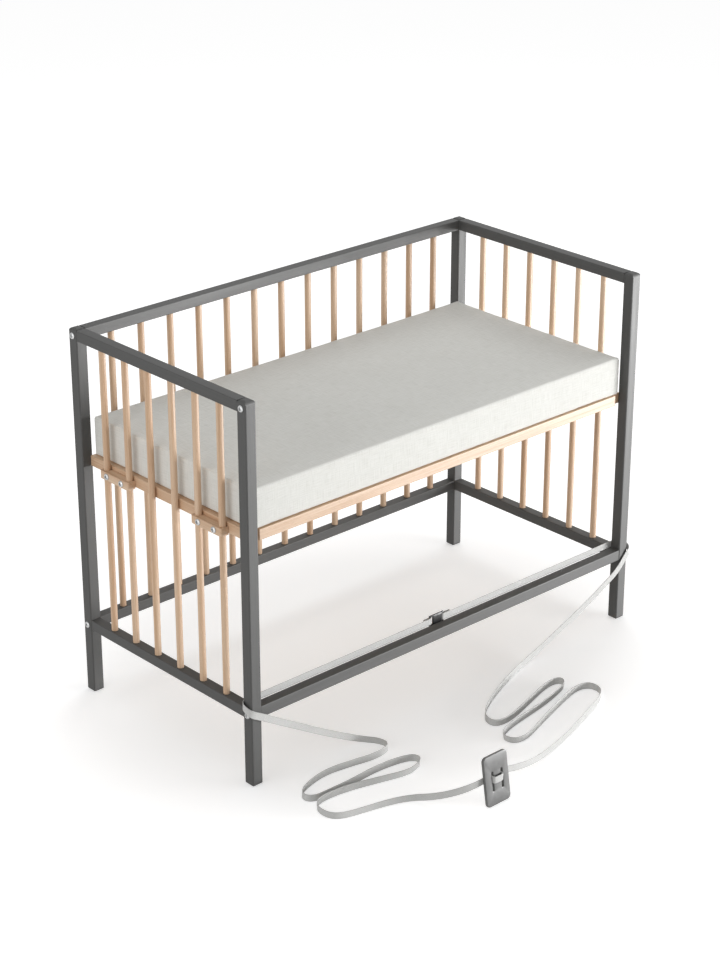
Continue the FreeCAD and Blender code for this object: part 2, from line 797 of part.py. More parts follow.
# --- All nodes -----------------------------------------------------------------------------
ends = (("left", -1), ("right", 1))
sides = (("front", -1), ("back", 1))
nodes = {}
for end_name, side_x in ends:
    for side_name, side_y in sides:
        nodes[f"post_{side_name}_{end_name}"] = post(side_x, side_y)
    nodes[f"end_top_rail_{end_name}"] = end_rail(side_x, top_rail_z, top_rail_tall)
    nodes[f"end_lower_rail_{end_name}"] = end_rail(side_x, low_rail_z, low_rail_tall)
    for number, y in enumerate(end_spindle_y, 1):
        nodes[f"{end_name}_spindle_{number}"] = spindle(side_x * rail_mid_x, y)
    nodes[f"base_end_rail_{end_name}"] = base_end_rail(side_x)
    for (side_name, _), middle in zip(sides, clamped_pairs):
        nodes[f"clamp_block_{side_name}_{end_name}"] = clamp_block(side_x, middle)
nodes["back_top_rail"] = back_rail(top_rail_z, top_rail_tall, top_bolt_z)
nodes["back_lower_rail"] = back_rail(low_rail_z, low_rail_tall, low_bolt_z)
nodes["front_lower_rail"] = long_rail(-1, low_rail_z, front_rail_tall, low_bolt_z)
for number, x in enumerate(back_spindle_x, 1):
    nodes[f"back_spindle_{number:02d}"] = spindle(x, rail_mid_y)
nodes["base_front_rail"] = base_long_rail(-1, base_front_y, slat_front_y)
nodes["base_back_rail"] = base_long_rail(1, base_back_y, slat_back_y)
nodes["bed_slats"] = bed_slats()
nodes["clamp_bolts"] = clamp_bolts()
nodes["clamp_nuts"] = clamp_nuts()
nodes["frame_screws"] = frame_screws()
nodes["mattress"] = mattress()
nodes["strap_tight_left"] = tight_strap(-strap_cut_x, left_bar_x, tail_end_x)
nodes["strap_tight_right"] = tight_strap(strap_cut_x, right_bar_x, sewn_end_x)
nodes["strap_buckle"] = strap_buckle()
nodes["strap_free_left"] = webbing("strap_free_left", left_strap_route)
nodes["strap_free_right"] = webbing("strap_free_right", right_strap_route)
nodes["strap_plate"] = strap_plate()

os.makedirs("parts", exist_ok=True)
triangles = 0
for name, shape in nodes.items():
    shape.exportStep(f"parts/{name}.step")
    triangles += len(shape.tessellate(0.1)[1])
    if not shape.isValid():
        print("not valid:", name)
print(len(nodes), "nodes,", triangles, "triangles")
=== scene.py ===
import math

import bmesh
import bpy
from mathutils import Matrix, Vector


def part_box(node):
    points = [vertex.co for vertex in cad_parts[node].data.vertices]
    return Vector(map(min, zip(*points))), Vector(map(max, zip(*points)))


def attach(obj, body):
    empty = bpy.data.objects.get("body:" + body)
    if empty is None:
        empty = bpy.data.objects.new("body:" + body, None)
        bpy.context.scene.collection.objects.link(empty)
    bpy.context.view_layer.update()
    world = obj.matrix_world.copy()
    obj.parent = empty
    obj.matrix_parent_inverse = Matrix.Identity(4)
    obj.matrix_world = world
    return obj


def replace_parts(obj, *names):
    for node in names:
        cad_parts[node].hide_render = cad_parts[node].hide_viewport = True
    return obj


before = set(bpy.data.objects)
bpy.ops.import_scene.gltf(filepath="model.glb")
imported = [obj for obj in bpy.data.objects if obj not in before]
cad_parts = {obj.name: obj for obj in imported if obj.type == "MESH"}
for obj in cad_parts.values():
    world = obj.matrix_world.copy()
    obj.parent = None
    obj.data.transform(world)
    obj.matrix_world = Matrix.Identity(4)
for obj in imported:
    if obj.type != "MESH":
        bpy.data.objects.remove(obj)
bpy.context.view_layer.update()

# Looks of the bedside sleeper crib.  Lengths are metres, in the frame of the construction.
MM = 0.001

# --- Camera --------------------------------------------------------------------------------
camera_azimuth = -42.474
camera_elevation = 23.904
camera_distance = 4.2943
camera_target = Vector((0.00146, 0.01145, 0.3505))
camera_lens = 87.72

# --- Strap ---------------------------------------------------------------------------------
tight_low, tight_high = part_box("strap_tight_left")
strap_wide = tight_high.z - tight_low.z
strap_thick = 1.2 * MM
strap_y = tight_low.y + strap_thick / 2
strap_z = (tight_low.z + tight_high.z) / 2
strap_cut_x = -tight_low.x
loop_x = 0.4765
loop_y = -0.2394
on_floor = 0.0067
behind_plate = -0.5378
before_plate = -0.5500
slot_x = (-0.208, -0.186)
strap_lean = 0.16               # radians, largest lean of a free length
strap_lean_clear = 0.30         # from both ends, where it stands upright
strap_lean_fade = 0.12
strap_lean_turns = 11           # radians of its wave in a metre
strap_lean_drift = 0.8
strap_lean_drift_turns = 5
strap_sharp_angle = 50
tight_step = 5 * MM
tight_bar_clearance = 1 * MM

left_strap_route = [
    (-strap_cut_x, strap_y, strap_z),
    (-loop_x, strap_y, 0.1545),
    (-loop_x, loop_y, 0.1455),
    (-0.450, -0.2394, 0.131),
    (-0.408, -0.2389, 0.105),
    (-0.366, -0.2380, 0.080),
    (-0.323, -0.2384, 0.054),
    (-0.279, -0.2380, 0.029),
    (-0.236, -0.241, on_floor),
    (-0.210, -0.276, on_floor),
    (-0.213, -0.301, on_floor),
    (-0.252, -0.307, on_floor),
    (-0.301, -0.296, on_floor),
    (-0.353, -0.288, on_floor),
    (-0.399, -0.297, on_floor),
    (-0.428, -0.310, on_floor),
    (-0.435, -0.328, on_floor),
    (-0.422, -0.340, on_floor),
    (-0.396, -0.341, on_floor),
    (-0.343, -0.3425, on_floor),
    (-0.280, -0.338, on_floor),
    (-0.231, -0.344, on_floor),
    (-0.206, -0.354, on_floor),
    (-0.205, -0.371, on_floor),
    (-0.225, -0.381, on_floor),
    (-0.251, -0.384, on_floor),
    (-0.298, -0.370, on_floor),
    (-0.352, -0.354, on_floor),
    (-0.400, -0.3475, on_floor),
    (-0.430, -0.352, on_floor),
    (-0.443, -0.370, on_floor),
    (-0.441, -0.398, on_floor),
    (-0.422, -0.4135, on_floor),
    (-0.374, -0.4245, on_floor),
    (-0.327, -0.436, on_floor),
    (-0.297, -0.452, on_floor + 0.0005),
    (-0.287, -0.477, 0.015),
    (-0.271, -0.503, 0.025),
    (-0.252, -0.527, 0.038),
    (-0.231, behind_plate, 0.046),
    (-0.213, behind_plate, 0.0475),
]
right_strap_route = [
    (strap_cut_x, strap_y, strap_z),
    (loop_x, strap_y, 0.1545),
    (loop_x, loop_y, 0.147),
    (0.461, -0.2394, 0.130),
    (0.441, -0.2393, 0.109),
    (0.412, -0.2386, 0.093),
    (0.368, -0.2380, 0.070),
    (0.300, -0.2381, 0.0425),
    (0.232, -0.2386, 0.0165),
    (0.190, -0.243, on_floor + 0.0003),
    (0.150, -0.255, on_floor),
    (0.092, -0.276, on_floor),
    (0.040, -0.2995, on_floor),
    (0.004, -0.3205, on_floor),
    (-0.020, -0.343, on_floor),
    (-0.022, -0.366, on_floor),
    (-0.003, -0.373, on_floor),
    (0.026, -0.370, on_floor),
    (0.075, -0.355, on_floor),
    (0.125, -0.339, on_floor),
    (0.160, -0.3305, on_floor),
    (0.184, -0.335, on_floor),
    (0.179, -0.353, on_floor),
    (0.151, -0.363, on_floor),
    (0.103, -0.375, on_floor),
    (0.046, -0.383, on_floor),
    (0.004, -0.389, on_floor),
    (-0.028, -0.398, on_floor),
    (-0.044, -0.411, on_floor),
    (-0.040, -0.432, on_floor),
    (-0.020, -0.4385, on_floor),
    (0.006, -0.433, on_floor),
    (0.038, -0.421, on_floor),
    (0.088, -0.404, on_floor),
    (0.140, -0.387, on_floor),
    (0.185, -0.376, on_floor),
    (0.210, -0.385, on_floor),
    (0.211, -0.412, on_floor),
    (0.188, -0.432, on_floor),
    (0.128, -0.454, on_floor),
    (0.044, -0.483, on_floor),
    (-0.025, -0.500, on_floor + 0.0005),
    (-0.085, -0.526, 0.026),
    (-0.131, -0.536, 0.038),
    (-0.162, behind_plate + 0.0002, 0.046),
    (slot_x[1] + 0.008, behind_plate, 0.0475),
    (slot_x[1], behind_plate, 0.0475),
    (slot_x[1], before_plate, 0.0475),
    (slot_x[1] - 0.006, before_plate - 0.0012, 0.0475),
    (slot_x[0] + 0.006, before_plate - 0.0012, 0.0475),
    (slot_x[0], before_plate, 0.0475),
    (slot_x[0], behind_plate, 0.0475),
    (-0.213, behind_plate, 0.0475),
]

# --- Buckle --------------------------------------------------------------------------------
buckle_low, buckle_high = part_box("strap_buckle")
buckle_middle = (buckle_low + buckle_high) / 2
buckle_bar_d = 3 * MM
buckle_frame_thick = 3.4 * MM
buckle_body_x = -13.6 * MM
buckle_body_long = 21.8 * MM
buckle_window_play = 1 * MM
buckle_cheek_radius = 0.8 * MM
buckle_bar_inset = 2 * MM
buckle_body_inset = 2.2 * MM
buckle_body_radius = 1.1 * MM
buckle_rib_count = 5
buckle_rib_pitch = 3.2 * MM
buckle_rib_wide = 1.3 * MM
buckle_rib_proud = 0.8 * MM
buckle_rib_inset = 7 * MM
buckle_rib_radius = 0.38 * MM
bar_gap = 0.15 * MM
bar_turn = buckle_bar_d / 2 + bar_gap + strap_thick / 2
tail_end_x = -45 * MM
sewn_end_x = 20 * MM

# --- Plate ---------------------------------------------------------------------------------
plate_low, plate_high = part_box("strap_plate")
plate_middle_x = (plate_low.x + plate_high.x) / 2
plate_wide = plate_high.x - plate_low.x
plate_tall = 91 * MM
plate_thick = 6 * MM
plate_corner_radius = 8 * MM
plate_foot_y = -554 * MM
plate_lean = math.radians(9)
plate_edge_radius = 1.6 * MM
slot_wide = 3.6 * MM
slot_tall = 35 * MM
slot_z = 43.5 * MM
slot_corner_share = 0.98        # of half its width
plate_edge_steps = 4

# --- Screws and bolts ----------------------------------------------------------------------
head_radius = 6 * MM
head_tall = 3 * MM
socket_radius = 2.5 * MM
shank_radius = 3 * MM
top_rail_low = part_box("end_top_rail_left")[0].z
low_rail_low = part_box("end_lower_rail_left")[0].z
end_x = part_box("post_front_right")[1].x
back_rail_low, back_rail_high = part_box("back_top_rail")
screw_y = (back_rail_low.y + back_rail_high.y) / 2
top_screw_up = 8.5 * MM         # over the underside of its rail
low_screw_up = 8 * MM
top_screw_z = top_rail_low + top_screw_up
low_screw_z = low_rail_low + low_screw_up
frame_screw_long = 55 * MM
spare_screw_long = 12 * MM
clamp_bolt_step = 20.5 * MM
clamp_bolt_past_nut = 2 * MM

# --- Slats ---------------------------------------------------------------------------------
slat_low, slat_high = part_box("bed_slats")
slat_count = 11
slat_wide = 50 * MM
slat_screw_radius = 3.4 * MM
slat_screw_inset = 4.6 * MM

# --- Mattress ------------------------------------------------------------------------------
mattress_low, mattress_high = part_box("mattress")
mattress_crown = 6.2 * MM
mattress_start_inset = 0.6 * MM
mattress_edge_radius = 6 * MM
mattress_corner_radius = 3.5 * MM
mattress_foot_radius = 3 * MM
mattress_row = 9 * MM
mattress_end_past = 1.2 * MM
post_inner_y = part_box("post_front_left")[1].y
mattress_foot_gap = 0.1 * MM
mattress_seat_gap = 0.05 * MM
mattress_shift = 0.2 * MM       # of its room towards the back rail
mattress_beside_post = 0.5 * MM
mattress_post_gap = 0.1 * MM
mattress_cap = 3.5 * MM         # on how far the filling moves a point
mattress_pressure = 4.0
mattress_shrink = -0.012
mattress_stiffness = 0.3
mattress_cloth_quality = 5
mattress_cloth_steps = 20

# --- Light ---------------------------------------------------------------------------------
ambient = 0.42
floor_half = 30
floor_shade_x = 0.68            # half axes of the ellipse of painted soft shadow round the crib, in which the floor glows dimmer
floor_shade_y = 0.60
floor_shade_from = 0.55         # of these half axes
floor_shade_to = 1.15
# Glow of the floor inside that ellipse, lower than far off: a painted soft shadow round the crib.
floor_glow_in_painted_shadow = 0.39
floor_glow_far = 0.63
# name, place, target, size, power, lights matt surfaces too
softboxes = (
    ("key", (2.6, -3.6, 0.45), (0.1, 0, 0.35), (2.2, 0.9), 132, True),
    ("fill", (-3.4, -0.4, 1.3), (0, 0, 0.35), (3.0, 2.4), 33, True),
    ("top", (1.4, 0.9, 2.9), (0, 0, 0.3), (1.6, 1.6), 22, True),
    ("reflector", (1.9, -1.9, 0.3), (0.2, 0, 0.3), (1.2, 0.6), 190, False),
)


# --- Shader helpers ------------------------------------------------------------------------
def tone(red, green, blue):
    """Colour from the three numbers of a screen colour, 0 to 255."""
    def linear(value):
        value /= 255
        return value / 12.92 if value <= 0.04045 else ((value + 0.055) / 1.055) ** 2.4
    return (linear(red), linear(green), linear(blue), 1)


class Finish:
    """A material being built: its shader, and short ways to add and join nodes."""

    def __init__(self, name, **fixed):
        self.material = bpy.data.materials.new(name)
        self.material.use_nodes = True
        self.tree = self.material.node_tree
        self.shader = self.tree.nodes["Principled BSDF"]
        for socket, value in fixed.items():
            label = socket.replace("_", " ").title().replace("Ior", "IOR")
            self.shader.inputs[label].default_value = value

    def node(self, kind, values=None, **settings):
        made = self.tree.nodes.new("ShaderNode" + kind)
        for key, value in settings.items():
            setattr(made, key, value)
        for socket, value in (values or {}).items():
            self.put(made.inputs[socket], value)
        return made

    def put(self, socket, value):
        if isinstance(value, bpy.types.NodeSocket):
            self.tree.links.new(value, socket)
        else:
            socket.default_value = value

    def place(self, kind="Object"):
        return self.node("TexCoord").outputs[kind]

    def scaled(self, vector, x, y, z):
        return self.node("Mapping", {"Vector": vector, "Scale": (x, y, z)}).outputs[0]

    def noise(self, vector, scale=1.0, detail=2.0, roughness=0.5):
        values = {"Vector": vector, "Scale": scale, "Detail": detail, "Roughness": roughness}
        return self.node("TexNoise", values).outputs[0]

    def sum(self, operation, a, b=0.0, c=0.0):
        return self.node("Math", {0: a, 1: b, 2: c}, operation=operation).outputs[0]

    def spread(self, value, low, high, to_low=0.0, to_high=1.0):
        values = {"Value": value, "From Min": low, "From Max": high, "To Min": to_low, "To Max": to_high}
        return self.node("MapRange", values).outputs[0]

    def ramp(self, value, *stops):
        made = self.node("ValToRGB", {"Fac": value})
        ramp = made.color_ramp
        while len(ramp.elements) < len(stops):
            ramp.elements.new(1.0)
        for element, (position, colour) in zip(ramp.elements, stops):
            element.position = position
            element.color = colour
        return made.outputs[0]

    def mix(self, factor, a, b):
        made = self.node("Mix", data_type="RGBA")
        for socket, value in ((0, factor), (6, a), (7, b)):
            self.put(made.inputs[socket], value)
        return made.outputs[2]

    def bump(self, height, distance, strength=1.0, under=None):
        values = {"Height": height, "Distance": distance, "Strength": strength}
        if under is not None:
            values["Normal"] = under
        return self.node("Bump", values).outputs[0]

    def done(self, colour, roughness, normal=None):
        self.put(self.shader.inputs["Base Color"], colour)
        self.put(self.shader.inputs["Roughness"], roughness)
        if normal is not None:
            self.put(self.shader.inputs["Normal"], normal)
        return self.material


# --- Materials -----------------------------------------------------------------------------
def lengthwise(finish, axis, across, along):
    """Object position stretched so that a texture runs along one axis of the crib."""
    scale = [across] * 3
    scale["xyz".index(axis)] = along
    return finish.scaled(finish.place(), *scale)


def beech(axis):
    """Clear lacquered beech: long streaks, slow tone changes and short dark flecks."""
    finish = Finish("beech_" + axis)
    slow = finish.noise(lengthwise(finish, axis, 14, 1.1), detail=2)
    streaks = finish.noise(lengthwise(finish, axis, 420, 7), detail=3, roughness=0.6)
    rings = finish.noise(lengthwise(finish, axis, 110, 2.2), detail=2)
    grain = finish.sum("ADD", finish.sum("MULTIPLY", streaks, 0.45), finish.sum("MULTIPLY", rings, 0.35))
    grain = finish.sum("ADD", grain, finish.sum("MULTIPLY", slow, 0.35))
    wood = finish.ramp(
        grain,
        (0.40, tone(194, 155, 121)),
        (0.54, tone(211, 177, 145)),
        (0.68, tone(223, 195, 167)),
    )
    flecks = finish.noise(lengthwise(finish, axis, 1500, 170), detail=1)
    fleck_mask = finish.spread(flecks, 0.62, 0.72, 0, 0.30)
    wood = finish.mix(fleck_mask, wood, tone(166, 122, 86))
    roughness = finish.spread(streaks, 0.3, 0.7, 0.40, 0.54)
    height = finish.sum("SUBTRACT", streaks, finish.sum("MULTIPLY", fleck_mask, 0.8))
    return finish.done(wood, roughness, finish.bump(height, 0.00012, 0.6))


def slat_wood(axis):
    """Planed, unlacquered wood of the slats, paler and with wider figure."""
    finish = Finish("slat_wood")
    rings = finish.noise(lengthwise(finish, axis, 70, 2.5), detail=3)
    fibres = finish.noise(lengthwise(finish, axis, 650, 9), detail=2)
    grain = finish.sum("ADD", finish.sum("MULTIPLY", rings, 0.6), finish.sum("MULTIPLY", fibres, 0.4))
    wood = finish.ramp(
        grain,
        (0.36, tone(205, 166, 120)),
        (0.52, tone(226, 194, 150)),
        (0.66, tone(238, 214, 176)),
    )
    return finish.done(wood, 0.62, finish.bump(fibres, 0.00015, 0.6))


def dark_lacquer(axis):
    """Anthracite lacquer over beech: the grain shows faintly through it."""
    finish = Finish("dark_lacquer_" + axis, specular_ior_level=0.42)
    pores = finish.noise(lengthwise(finish, axis, 900, 26), detail=2, roughness=0.6)
    grain = finish.noise(lengthwise(finish, axis, 160, 4), detail=3, roughness=0.6)
    cloud = finish.noise(lengthwise(finish, axis, 10, 2), detail=2)
    mixed = finish.sum("ADD", finish.sum("MULTIPLY", grain, 0.6), finish.sum("MULTIPLY", cloud, 0.4))
    paint = finish.ramp(mixed, (0.34, tone(73, 73, 72)), (0.66, tone(85, 85, 84)))
    pits = finish.spread(pores, 0.60, 0.74, 0, 0.35)
    paint = finish.mix(pits, paint, tone(52, 52, 51))
    height = finish.sum("SUBTRACT", finish.sum("MULTIPLY", grain, 0.5), pits)
    roughness = finish.spread(grain, 0.3, 0.7, 0.56, 0.68)
    return finish.done(paint, roughness, finish.bump(height, 0.0001, 0.5))


def zinc(name, dark, light):
    """Zinc plate with faint tumbling marks."""
    finish = Finish(name, metallic=1.0)
    marks = finish.noise(finish.place(), 1400, 3, 0.7)
    stain = finish.noise(finish.place(), 160, 2)
    metal = finish.ramp(stain, (0.3, dark), (0.7, light))
    roughness = finish.spread(marks, 0.3, 0.7, 0.20, 0.38)
    return finish.done(metal, roughness, finish.bump(marks, 0.00003, 0.5))


def woven_cover():
    """Off-white woven cover of the mattress, with slubs in both thread directions."""
    finish = Finish("mattress_fabric", sheen_weight=0.12, sheen_roughness=0.5, specular_ior_level=0.25)
    at = finish.node("SeparateXYZ", {0: finish.place()})
    facing = finish.node("SeparateXYZ", {0: finish.place("Normal")})
    on_end = finish.sum("GREATER_THAN", finish.sum("ABSOLUTE", facing.outputs[0]), 0.7)
    on_top = finish.sum("GREATER_THAN", finish.sum("ABSOLUTE", facing.outputs[2]), 0.7)

    def choose(mask, yes, no):
        made = finish.node("Mix", data_type="FLOAT")
        for socket, value in ((0, mask), (2, no), (3, yes)):
            finish.put(made.inputs[socket], value)
        return made.outputs[0]

    u = choose(on_end, at.outputs[1], at.outputs[0])
    v = choose(on_top, at.outputs[1], at.outputs[2])
    thread_pitch = 0.9 * MM
    turns = 2 * math.pi / thread_pitch
    weave = finish.sum(
        "MULTIPLY",
        finish.sum("SINE", finish.sum("MULTIPLY", u, turns)),
        finish.sum("SINE", finish.sum("MULTIPLY", v, turns)),
    )
    flat = finish.node("CombineXYZ", {0: u, 1: v}).outputs[0]
    warp = finish.noise(finish.scaled(flat, 900, 38, 1), 1, 2)
    weft = finish.noise(finish.scaled(flat, 38, 900, 1), 1, 2)
    slubs = finish.sum("ADD", finish.sum("MULTIPLY", warp, 0.5), finish.sum("MULTIPLY", weft, 0.5))
    cloud = finish.noise(finish.place(), 9, 3)
    cloth = finish.ramp(
        slubs,
        (0.36, tone(222, 222, 216)),
        (0.50, tone(233, 233, 228)),
        (0.64, tone(240, 240, 236)),
    )
    shade = finish.spread(weave, -1, 1, 0.06, 0)
    cloth = finish.mix(shade, cloth, tone(176, 175, 166))
    cloth = finish.mix(finish.spread(cloud, 0.35, 0.7, 0.10, 0), cloth, tone(205, 204, 196))
    height = finish.sum("ADD", finish.sum("MULTIPLY", weave, 0.35), finish.sum("MULTIPLY", slubs, 1.1))
    fine = finish.bump(height, 0.0002, 0.45)
    creases = finish.noise(finish.scaled(finish.place(), 11, 19, 14), 1, 2, 0.45)
    normal = finish.bump(creases, 0.004, 0.35, under=fine)
    return finish.done(cloth, 0.86, normal)


def webbing_weave():
    """Light grey webbing: picks across it, warp ends along it, and a darker band along both edges."""
    finish = Finish("webbing_weave", sheen_weight=0.1, specular_ior_level=0.35)
    at = finish.node("SeparateXYZ", {0: finish.place("UV")})
    along = at.outputs[0]
    across = at.outputs[1]
    pick_pitch = 1.5 * MM
    end_pitch = 1.25 * MM
    picks = finish.sum("SINE", finish.sum("MULTIPLY", along, 2 * math.pi / pick_pitch))
    ends = finish.sum("SINE", finish.sum("MULTIPLY", across, 2 * math.pi / end_pitch))
    weave = finish.sum("MULTIPLY", picks, ends)
    from_middle = finish.sum("ABSOLUTE", across)
    edge = finish.spread(from_middle, strap_wide / 2 - 1.3 * MM, strap_wide / 2 - 0.9 * MM)
    fuzz = finish.noise(finish.scaled(finish.place("UV"), 2600, 700, 1), 1, 2)
    colour = finish.ramp(
        finish.sum("ADD", finish.sum("MULTIPLY", weave, 0.22), fuzz),
        (0.30, tone(188, 188, 186)),
        (0.52, tone(212, 212, 210)),
        (0.80, tone(226, 226, 224)),
    )
    # Darker band along both edges of the webbing.
    colour = finish.mix(finish.sum("MULTIPLY", edge, 0.18), colour, tone(150, 150, 148))
    height = finish.sum("ADD", finish.sum("MULTIPLY", weave, 0.5), finish.sum("MULTIPLY", fuzz, 0.5))
    return finish.done(colour, 0.74, finish.bump(height, 0.00025, 0.7))


def moulded_plastic(name, dark, light, rough):
    """Moulded plastic with a fine spark-eroded grain."""
    finish = Finish(name)
    grain = finish.noise(finish.place(), 2300, 2, 0.6)
    cloud = finish.noise(finish.place(), 60, 2)
    colour = finish.ramp(cloud, (0.35, dark), (0.65, light))
    roughness = finish.spread(grain, 0.3, 0.7, rough - 0.07, rough + 0.07)
    return finish.done(colour, roughness, finish.bump(grain, 0.00005, 0.6))


wood = {axis: beech(axis) for axis in "xyz"}
lacquer = {axis: dark_lacquer(axis) for axis in "xyz"}
slat_finish = slat_wood("y")
steel = zinc("zinc_steel", tone(168, 169, 170), tone(204, 205, 205))
# Painted shade: the inside of the hex sockets is coloured near black to stand for the shade in the
# recess.
socket_painted_shade = zinc("zinc_steel_socket_painted_shade", tone(30, 30, 31), tone(52, 52, 53))
cover = woven_cover()
weave = webbing_weave()
black_plastic = moulded_plastic("black_plastic", tone(20, 20, 21), tone(30, 30, 31), 0.36)
grey_plastic = moulded_plastic("grey_plastic", tone(93, 93, 92), tone(104, 104, 103), 0.46)


def dress(node, material):
    """Gives a construction node its material."""
    for material_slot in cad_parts[node].material_slots:
        material_slot.material = material


def dress_nodes():
    """Wood, lacquer and metal on the nodes whose shape is right as it is."""
    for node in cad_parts:
        if node.startswith("post_"):
            dress(node, lacquer["z"])
        elif node.startswith("end_"):
            dress(node, lacquer["y"])
        elif node in ("back_top_rail", "back_lower_rail", "front_lower_rail"):
            dress(node, lacquer["x"])
        elif "spindle" in node:
            dress(node, wood["z"])
        elif node in ("base_front_rail", "base_back_rail"):
            dress(node, wood["x"])
        elif node.startswith(("base_end_rail", "clamp_block")):
            dress(node, wood["y"])
    dress("bed_slats", slat_finish)
    dress("clamp_nuts", steel)


# --- Piece helpers -------------------------------------------------------------------------
def make_piece(name, mesh, material, body, sharp_angle=35):
    """Object from a finished mesh, smooth but for its sharp edges, riding on a body."""
    mesh.materials.clear()
    mesh.materials.append(material)
    for face in mesh.polygons:
        face.use_smooth = True
    mesh.set_sharp_from_angle(angle=math.radians(sharp_angle))
    piece = bpy.data.objects.new(name, mesh)
    bpy.context.collection.objects.link(piece)
    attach(piece, body)
    return piece


def mesh_from(name, shape):
    """Mesh from a bmesh, which is freed."""
    bmesh.ops.recalc_face_normals(shape, faces=shape.faces)
    mesh = bpy.data.meshes.new(name)
    shape.to_mesh(mesh)
    shape.free()
    return mesh


def join_rings(shape, rings):
    """Quads between rings of as many points each, in order."""
    for before, after in zip(rings, rings[1:]):
        count = len(before)
        for i in range(count):
            j = (i + 1) % count
            shape.faces.new((before[i], before[j], after[j], after[i]))


# --- Strap ---------------------------------------------------------------------------------
def smooth_line(name, route):
    """Points read from one smooth curve that has the route as its control points."""
    curve = bpy.data.curves.new(name, "CURVE")
    curve.dimensions = "3D"
    curve.resolution_u = 14
    spline = curve.splines.new("NURBS")
    spline.points.add(len(route) - 1)
    for point, place in zip(spline.points, route):
        point.co = (*place, 1)
    spline.order_u = 3
    spline.use_endpoint_u = True
    holder = bpy.data.objects.new(name, curve)
    mesh = bpy.data.meshes.new_from_object(holder)
    line = [vertex.co.copy() for vertex in mesh.vertices]
    bpy.data.meshes.remove(mesh)
    bpy.data.objects.remove(holder)
    bpy.data.curves.remove(curve)
    return line


def strap_section():
    """Half width and half thickness of points round the strap's section, edges rounded."""
    profile = ((-1, 0.35), (-0.965, 0.85), (-0.9, 1), (-0.82, 0.92), (0, 0.88))
    profile += tuple((-up, thick) for up, thick in reversed(profile[:-1]))
    one_side = [(up * strap_wide / 2, thick * strap_thick / 2) for up, thick in profile]
    return one_side + [(up, -thick) for up, thick in reversed(one_side)]


def strap_mesh(name, line, lean=0.0):
    """Webbing on edge along a line, leaning slowly to one side and the other."""
    shape = bmesh.new()
    measure = shape.loops.layers.uv.new("webbing")
    section = strap_section()
    rings = []
    travelled = [0.0]
    for before, after in zip(line, line[1:]):
        travelled.append(travelled[-1] + (after - before).length)
    for index, point in enumerate(line):
        way = (line[min(index + 1, len(line) - 1)] - line[max(index - 1, 0)]).normalized()
        side = Vector((-way.y, way.x, 0)).normalized()
        upright = way.cross(side)
        near_end = min(travelled[index], travelled[-1] - travelled[index])
        hold = min(1, max(0, near_end - strap_lean_clear) / strap_lean_fade)
        drift = strap_lean_drift * math.sin(travelled[index] * strap_lean_drift_turns)
        tilt = lean * hold * math.sin(travelled[index] * strap_lean_turns + drift)
        up = upright * math.cos(tilt) + side * math.sin(tilt)
        out = side * math.cos(tilt) - upright * math.sin(tilt)
        rings.append([shape.verts.new(point + up * rise + out * thick) for rise, thick in section])
    count = len(section)
    for ring_index, (before, after) in enumerate(zip(rings, rings[1:])):
        for i in range(count):
            j = (i + 1) % count
            face = shape.faces.new((before[i], before[j], after[j], after[i]))
            corners = ((ring_index, i), (ring_index, j), (ring_index + 1, j), (ring_index + 1, i))
            for loop, (ring, at) in zip(face.loops, corners):
                loop[measure].uv = (travelled[ring], section[at][0])
    for ring in (rings[0], rings[-1]):
        end = shape.faces.new(ring)
        for loop, (rise, thick) in zip(end.loops, section):
            loop[measure].uv = (thick, rise)
    return mesh_from(name, shape)


def free_strap(name, route, node):
    """One free length of the strap, from its post to the plate."""
    line = smooth_line(name, route)
    mesh = strap_mesh(name, line, strap_lean)
    piece = make_piece(name, mesh, weave, "root", strap_sharp_angle)
    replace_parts(piece, node)


def tight_strap(name, from_x, bar_x, end_x, node):
    """Tight strap from a post to a buckle bar, round the bar and back along itself."""
    way = 1 if bar_x > from_x else -1
    centre = Vector((bar_x, strap_y + bar_turn, strap_z))
    step_count = int(abs(bar_x - from_x) / tight_step)
    first = [from_x + way * tight_step * i for i in range(step_count + 1)]
    line = [Vector((x, strap_y, strap_z)) for x in first if abs(x - bar_x) > tight_bar_clearance]
    bend_steps = 12
    for i in range(bend_steps + 1):
        angle = math.pi * i / bend_steps
        turn = Vector((way * math.sin(angle), -math.cos(angle), 0)) * bar_turn
        line.append(centre + turn)
    back = Vector((bar_x, strap_y + 2 * bar_turn, strap_z))
    returns = 6
    for i in range(1, returns + 1):
        line.append(back.lerp(Vector((end_x, back.y, strap_z)), i / returns))
    piece = make_piece(name, strap_mesh(name, line), weave, "root", strap_sharp_angle)
    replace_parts(piece, node)


# --- Buckle --------------------------------------------------------------------------------
def rounded_block(shape, middle, size, radius, segments=3):
    """Adds a box with rounded edges to a bmesh."""
    made = bmesh.ops.create_cube(shape, size=1)["verts"]
    for vertex in made:
        vertex.co = Vector(middle) + Vector([c * s for c, s in zip(vertex.co, size)])
    edges = list({edge for vertex in made for edge in vertex.link_edges})
    bmesh.ops.bevel(shape, geom=edges, offset=radius, segments=segments, profile=0.5, affect="EDGES")


